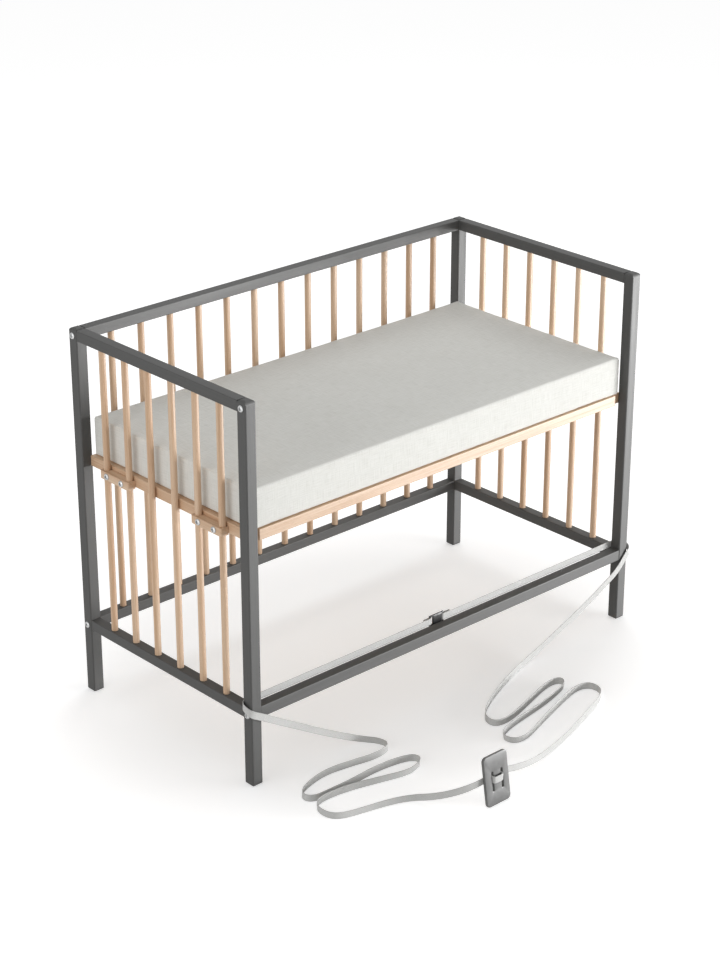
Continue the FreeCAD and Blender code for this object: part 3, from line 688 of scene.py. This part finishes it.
def slide_buckle():
    """Slide buckle: two cheeks, two round end bars and a broad ribbed middle."""
    shape = bmesh.new()
    middle = buckle_middle
    long = buckle_high.x - buckle_low.x
    tall = buckle_high.z - buckle_low.z
    cheek = (tall - strap_wide - buckle_window_play) / 2
    for side in (-1, 1):
        at = (middle.x, middle.y, middle.z + side * (tall - cheek) / 2)
        rounded_block(shape, at, (long, buckle_frame_thick, cheek), buckle_cheek_radius)
        bar_x = middle.x + side * (long - buckle_bar_d) / 2
        bmesh.ops.create_cone(
            shape,
            cap_ends=True,
            segments=24,
            radius1=buckle_bar_d / 2,
            radius2=buckle_bar_d / 2,
            depth=tall - buckle_bar_inset,
            matrix=Matrix.Translation((bar_x, middle.y, middle.z)),
        )
    body_thick = buckle_high.y - buckle_low.y
    body_size = (buckle_body_long, body_thick - buckle_rib_proud, tall - buckle_body_inset)
    rounded_block(shape, (buckle_body_x, middle.y, middle.z), body_size, buckle_body_radius, 4)
    rib_size = (buckle_rib_wide, body_thick, tall - buckle_rib_inset)
    for i in range(buckle_rib_count):
        rib_x = buckle_body_x + (i - (buckle_rib_count - 1) / 2) * buckle_rib_pitch
        rounded_block(shape, (rib_x, middle.y, middle.z), rib_size, buckle_rib_radius)
    piece = make_piece(
        "slide_buckle", mesh_from("slide_buckle", shape), black_plastic, "root"
    )
    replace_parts(piece, "strap_buckle")


# --- Plate ---------------------------------------------------------------------------------
def rounded_loop(middle_x, middle_z, wide, tall, radius, steps=8):
    """Points (x, z) round a rectangle with rounded corners."""
    points = []
    for quarter in range(4):
        turn = quarter * math.pi / 2
        corner_x = middle_x + (wide / 2 - radius) * (1 if quarter in (0, 3) else -1)
        corner_z = middle_z + (tall / 2 - radius) * (1 if quarter in (0, 1) else -1)
        for i in range(steps + 1):
            angle = turn + math.pi / 2 * i / steps
            points.append((corner_x + radius * math.cos(angle), corner_z + radius * math.sin(angle)))
    return points


def slotted_plate():
    """Plate with two slots, all its edges rounded, standing on its foot and leaning back."""
    shape = bmesh.new()
    rounding = [
        (plate_edge_radius * (1 - math.sin(angle)), plate_edge_radius * (1 - math.cos(angle)))
        for angle in [math.pi / 2 * i / plate_edge_steps for i in range(plate_edge_steps + 1)]
    ]
    depths = rounding + [(inset, plate_thick - depth) for inset, depth in reversed(rounding)]
    outlines = [(plate_middle_x, plate_tall / 2, plate_wide, plate_tall, plate_corner_radius, -1)]
    for x in slot_x:
        outlines.append((x, slot_z, slot_wide, slot_tall, slot_wide / 2 * slot_corner_share, 1))
    front, back = [], []
    for middle_x, middle_z, wide, tall, radius, grow in outlines:
        rings = []
        for inset, depth in depths:
            change = grow * inset
            points = rounded_loop(
                middle_x, middle_z, wide + 2 * change, tall + 2 * change, radius + change
            )
            rings.append([shape.verts.new((x, depth, z)) for x, z in points])
        join_rings(shape, rings)
        front.append(rings[0])
        back.append(rings[-1])
    for face_loops in (front, back):
        rim = []
        for ring in face_loops:
            for i, vertex in enumerate(ring):
                following = ring[(i + 1) % len(ring)]
                rim.append(shape.edges.get((vertex, following)) or shape.edges.new((vertex, following)))
        bmesh.ops.triangle_fill(shape, use_beauty=True, edges=rim)
    bmesh.ops.remove_doubles(shape, verts=shape.verts, dist=1e-6)
    bmesh.ops.rotate(shape, verts=shape.verts, matrix=Matrix.Rotation(-plate_lean, 3, "X"))
    lowest = min(vertex.co.z for vertex in shape.verts)
    bmesh.ops.translate(shape, verts=shape.verts, vec=(0, plate_foot_y, -lowest))
    piece = make_piece(
        "slotted_plate", mesh_from("slotted_plate", shape), grey_plastic, "root"
    )
    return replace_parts(piece, "strap_plate")


# --- Screws and bolts ----------------------------------------------------------------------
def socket_head_profile(shank_long):
    """(height over the seat, radius, six-sided) along a bolt, from its tip to its socket."""
    return (
        (-shank_long, 0.72 * shank_radius, False),
        (-shank_long + 0.8 * MM, shank_radius, False),
        (0, shank_radius, False),
        (0, 0.93 * head_radius, False),
        (0.25 * MM, 0.99 * head_radius, False),
        (0.6 * MM, head_radius, False),
        (1.1 * MM, 0.98 * head_radius, False),
        (1.9 * MM, 0.90 * head_radius, False),
        (2.5 * MM, 0.78 * head_radius, False),
        (2.9 * MM, 0.62 * head_radius, False),
        (head_tall, 0.50 * head_radius, False),
        (head_tall - 0.1 * MM, 1.08 * socket_radius, True),
        (head_tall - 0.35 * MM, socket_radius, True),
        (head_tall - 2.2 * MM, 0.98 * socket_radius, True),
        (head_tall - 2.6 * MM, 0.3 * socket_radius, False),
    )


def slat_screw_profile():
    """(height over the seat, radius, six-sided) of a low countersunk head."""
    return (
        (-5 * MM, 0.9 * MM, False),
        (-2.2 * MM, 1.6 * MM, False),
        (-0.1 * MM, slat_screw_radius, False),
        (0.08 * MM, 0.96 * slat_screw_radius, False),
        (0.2 * MM, 0.7 * slat_screw_radius, False),
        (0.22 * MM, 0.42 * slat_screw_radius, False),
        (-0.9 * MM, 0.36 * slat_screw_radius, True),
        (-1.1 * MM, 0.1 * slat_screw_radius, False),
    )


def turned(shape, profile, seat, outward, sides=36):
    """Adds a turned piece with its axis along a direction; its six-sided socket takes material 1, a
    painted shade.
    """
    lift = Vector((0, 0, 1)).rotation_difference(Vector(outward)).to_matrix()
    rings = []
    for height, radius, six_sided in profile:
        ring = []
        for i in range(sides):
            angle = 2 * math.pi * i / sides
            reach = radius
            if six_sided:
                reach = radius / math.cos((angle % (math.pi / 3)) - math.pi / 6)
            point = Vector((reach * math.cos(angle), reach * math.sin(angle), height))
            ring.append(shape.verts.new(Vector(seat) + lift @ point))
        rings.append(ring)
    join_rings(shape, rings)
    shape.faces.new(rings[0])
    shape.faces.new(rings[-1])
    # Faces deep in the socket take material 1, a painted shade for the recess.
    first = [six_sided for _, _, six_sided in profile].index(True)
    deep = {vertex for ring in rings[first:] for vertex in ring}
    for face in {face for vertex in rings[-1] + rings[first] for face in vertex.link_faces}:
        if deep.issuperset(face.verts):
            face.material_index = 1


def frame_screw_heads():
    """Screws in the outer end faces of the posts."""
    shape = bmesh.new()
    for side in (-1, 1):
        for y, z, long in (
            (screw_y, top_screw_z, frame_screw_long),
            (screw_y, low_screw_z, frame_screw_long),
            (-screw_y, low_screw_z, frame_screw_long),
            (-screw_y, top_screw_z, spare_screw_long),
        ):
            turned(shape, socket_head_profile(long), (side * end_x, y, z), (side, 0, 0))
    mesh = mesh_from("frame_screws_turned", shape)
    piece = make_piece("frame_screws_turned", mesh, steel, "root")
    # Second material: painted shade inside the sockets.
    mesh.materials.append(socket_painted_shade)
    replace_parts(piece, "frame_screws")


def clamp_bolt_heads():
    """Bolts in the outer faces of the clamp blocks."""
    shape = bmesh.new()
    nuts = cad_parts["clamp_nuts"].data.vertices
    tip_x = min(abs(vertex.co.x) for vertex in nuts) - clamp_bolt_past_nut
    for side_name, side in (("left", -1), ("right", 1)):
        for place in ("front", "back"):
            low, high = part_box(f"clamp_block_{place}_{side_name}")
            middle = (low + high) / 2
            seat_x = max(-low.x, high.x)
            for step in (-clamp_bolt_step, clamp_bolt_step):
                seat = (side * seat_x, middle.y + step, middle.z)
                turned(shape, socket_head_profile(seat_x - tip_x), seat, (side, 0, 0))
    mesh = mesh_from("clamp_bolts_turned", shape)
    piece = make_piece("clamp_bolts_turned", mesh, steel, "base")
    # Second material: painted shade inside the sockets.
    mesh.materials.append(socket_painted_shade)
    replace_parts(piece, "clamp_bolts")


def slat_screws():
    """A countersunk screw at each end of each slat."""
    shape = bmesh.new()
    pitch = (slat_high.x - slat_low.x - slat_wide) / (slat_count - 1)
    for i in range(slat_count):
        x = slat_low.x + slat_wide / 2 + i * pitch
        for y in (slat_low.y + slat_screw_inset, slat_high.y - slat_screw_inset):
            turned(shape, slat_screw_profile(), (x, y, slat_high.z), (0, 0, 1), 24)
    mesh = mesh_from("slat_screws", shape)
    make_piece("slat_screws", mesh, steel, "base")
    # Second material: painted shade inside the sockets.
    mesh.materials.append(socket_painted_shade)


# --- Mattress ------------------------------------------------------------------------------
def rounded_rows(low, high, low_radius, high_radius):
    """(middle, slant, radius) of the rows of a rounded block along one axis."""
    slants = [math.tan(math.radians(angle)) for angle in (45, 32, 17)]
    first = low + low_radius
    last = high - high_radius
    count = round((last - first) / mattress_row)
    return (
        [(first, -slant, low_radius) for slant in slants]
        + [(first + (last - first) * i / count, 0, 0) for i in range(count + 1)]
        + [(last, slant, high_radius) for slant in reversed(slants)]
    )


def mattress_start():
    """Rounded block a little smaller than the foam, in rows of quads."""
    inset = mattress_start_inset
    low = mattress_low + Vector((inset, inset, mattress_foot_gap))
    high = mattress_high - Vector((inset, inset, mattress_crown))
    side_radii = (mattress_corner_radius, mattress_corner_radius)
    radii = (side_radii, side_radii, (mattress_foot_radius, mattress_edge_radius))
    rows = [rounded_rows(low[axis], high[axis], *radii[axis]) for axis in range(3)]
    shape = bmesh.new()
    placed = {}

    def corner(index):
        if index not in placed:
            chosen = [rows[axis][i] for axis, i in enumerate(index)]
            outward = Vector([slant for _, slant, _ in chosen]).normalized()
            placed[index] = shape.verts.new(
                [middle + radius * out for (middle, _, radius), out in zip(chosen, outward)]
            )
        return placed[index]

    for axis in range(3):
        across, along = [other for other in range(3) if other != axis]
        for end in (0, len(rows[axis]) - 1):
            for i in range(len(rows[across]) - 1):
                for j in range(len(rows[along]) - 1):
                    quad = []
                    for step_i, step_j in ((0, 0), (1, 0), (1, 1), (0, 1)):
                        index = [0, 0, 0]
                        index[axis] = end
                        index[across] = i + step_i
                        index[along] = j + step_j
                        quad.append(corner(tuple(index)))
                    shape.faces.new(quad)
    return mesh_from("mattress_cover", shape)


def fill_cloth(mesh):
    """Blows the cover up a little with cloth, and caps how far each point moves."""
    start = [vertex.co.copy() for vertex in mesh.vertices]
    holder = bpy.data.objects.new("mattress_fill", mesh)
    bpy.context.collection.objects.link(holder)
    cloth = holder.modifiers.new("fill", "CLOTH")
    cloth.settings.quality = mattress_cloth_quality
    cloth.settings.use_pressure = True
    cloth.settings.uniform_pressure_force = mattress_pressure
    cloth.settings.effector_weights.gravity = 0
    cloth.settings.shrink_min = mattress_shrink
    cloth.settings.bending_stiffness = mattress_stiffness
    scene = bpy.context.scene
    for step in range(1, mattress_cloth_steps + 1):
        scene.frame_set(step)
    blown = holder.evaluated_get(bpy.context.evaluated_depsgraph_get()).data
    ends = [vertex.co.copy() for vertex in blown.vertices]
    holder.modifiers.clear()
    scene.frame_set(1)
    bpy.data.objects.remove(holder)
    for vertex, old, new in zip(mesh.vertices, start, ends):
        move = new - old
        if move.length > 0:
            capped = mattress_cap * math.tanh(move.length / mattress_cap)
            vertex.co = old + move * (capped / move.length)


def seat_mattress(mesh):
    """Keeps the cover inside its room, flat on the slats and clear of the posts."""
    room_low = mattress_low + Vector((0, mattress_shift, mattress_seat_gap))
    room_high = mattress_high + Vector((0, mattress_shift, 0))
    for vertex in mesh.vertices:
        beside_post = vertex.co.y < post_inner_y + mattress_beside_post
        out = -mattress_post_gap if beside_post else mattress_end_past
        vertex.co.x = min(max(vertex.co.x, room_low.x - out), room_high.x + out)
        for axis in (1, 2):
            vertex.co[axis] = min(max(vertex.co[axis], room_low[axis]), room_high[axis])


def mattress_cover():
    """Padded cover over the foam."""
    mesh = mattress_start()
    fill_cloth(mesh)
    seat_mattress(mesh)
    piece = make_piece("mattress_cover", mesh, cover, "mattress_body", 180)
    smooth = piece.modifiers.new("smooth", "SUBSURF")
    smooth.levels = 1
    smooth.render_levels = 1
    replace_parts(piece, "mattress")


# --- Floor, light and camera ---------------------------------------------------------------
def seen_directly(finish):
    """1 on camera, glossy and transmission rays, and 0 on the others."""
    path = finish.node("LightPath")
    seen = finish.sum("ADD", path.outputs["Is Camera Ray"], path.outputs["Is Glossy Ray"])
    return finish.sum("MINIMUM", finish.sum("ADD", seen, path.outputs["Is Transmission Ray"]), 1.0)


def add_floor():
    """Plain pale floor that keeps the shadow of the object, with a painted soft shadow: its glow is
    dimmer in an ellipse round the crib.
    """
    shape = bmesh.new()
    corners = ((-1, -1), (1, -1), (1, 1), (-1, 1))
    shape.faces.new([shape.verts.new((x * floor_half, y * floor_half, 0)) for x, y in corners])
    mesh = mesh_from("floor", shape)
    finish = Finish("floor")
    finish.put(finish.shader.inputs["Emission Color"], (1, 1, 1, 1))
    # Painted shadow: the glow fades from dim near the crib to full far off.
    flat = finish.scaled(finish.place(), 1 / floor_shade_x, 1 / floor_shade_y, 0)
    from_crib = finish.node("VectorMath", {0: flat}, operation="LENGTH")
    fade = {
        "Value": from_crib.outputs["Value"],
        "From Min": floor_shade_from,
        "From Max": floor_shade_to,
        "To Min": floor_glow_in_painted_shadow,
        "To Max": floor_glow_far,
    }
    level = finish.node("MapRange", fade, interpolation_type="SMOOTHSTEP")
    glow = finish.sum("MULTIPLY", seen_directly(finish), level.outputs[0])
    finish.put(finish.shader.inputs["Emission Strength"], glow)
    finish.put(finish.shader.inputs["Specular IOR Level"], 0.0)
    mesh.materials.append(finish.done((0.80, 0.80, 0.80, 1), 0.9))
    floor = bpy.data.objects.new("floor", mesh)
    bpy.context.collection.objects.link(floor)


def add_world():
    """Even white surroundings: white where seen, dimmer as light."""
    world = bpy.data.worlds.new("studio")
    bpy.context.scene.world = world
    world.use_nodes = True
    tree = world.node_tree
    path = tree.nodes.new("ShaderNodeLightPath")
    strength = tree.nodes.new("ShaderNodeMapRange")
    strength.inputs["To Min"].default_value = ambient
    strength.inputs["To Max"].default_value = 1.0
    total = path.outputs["Is Camera Ray"]
    for name in ("Is Glossy Ray", "Is Transmission Ray"):
        add = tree.nodes.new("ShaderNodeMath")
        tree.links.new(total, add.inputs[0])
        tree.links.new(path.outputs[name], add.inputs[1])
        total = add.outputs[0]
    tree.links.new(total, strength.inputs["Value"])
    tree.links.new(strength.outputs[0], tree.nodes["Background"].inputs["Strength"])
    tree.nodes["Background"].inputs["Color"].default_value = (1, 1, 1, 1)


def add_softbox(name, place, target, size, power, lights_matt):
    """Rectangular soft light aimed at a point."""
    data = bpy.data.lights.new(name, "AREA")
    data.shape = "RECTANGLE"
    data.size, data.size_y = size
    data.energy = power
    light = bpy.data.objects.new(name, data)
    light.location = place
    aim = Vector(target) - Vector(place)
    light.rotation_euler = aim.to_track_quat("-Z", "Y").to_euler()
    light.visible_diffuse = lights_matt
    bpy.context.collection.objects.link(light)


def add_camera():
    """Camera at the photograph's viewing angle."""
    data = bpy.data.cameras.new("camera")
    data.sensor_width = 36
    data.lens = camera_lens
    data.clip_end = 100
    turn = math.radians(camera_azimuth)
    rise = math.radians(camera_elevation)
    back = Vector((math.sin(turn) * math.cos(rise), -math.cos(turn) * math.cos(rise), math.sin(rise)))
    camera = bpy.data.objects.new("camera", data)
    camera.location = camera_target + back * camera_distance
    camera.rotation_euler = (math.pi / 2 - rise, 0, turn)
    bpy.context.collection.objects.link(camera)
    bpy.context.scene.camera = camera


add_camera()
plate = slotted_plate()
free_strap("strap_left_webbing", left_strap_route, "strap_free_left")
free_strap("strap_right_webbing", right_strap_route, "strap_free_right")
left_bar_x = buckle_low.x + buckle_bar_d / 2
right_bar_x = buckle_high.x - buckle_bar_d / 2
tight_strap("strap_tight_left_webbing", -strap_cut_x, left_bar_x, tail_end_x, "strap_tight_left")
tight_strap("strap_tight_right_webbing", strap_cut_x, right_bar_x, sewn_end_x, "strap_tight_right")
slide_buckle()
dress_nodes()
frame_screw_heads()
clamp_bolt_heads()
slat_screws()
mattress_cover()

bpy.context.scene.view_settings.view_transform = "Standard"
add_floor()
add_world()
for softbox in softboxes:
    add_softbox(*softbox)
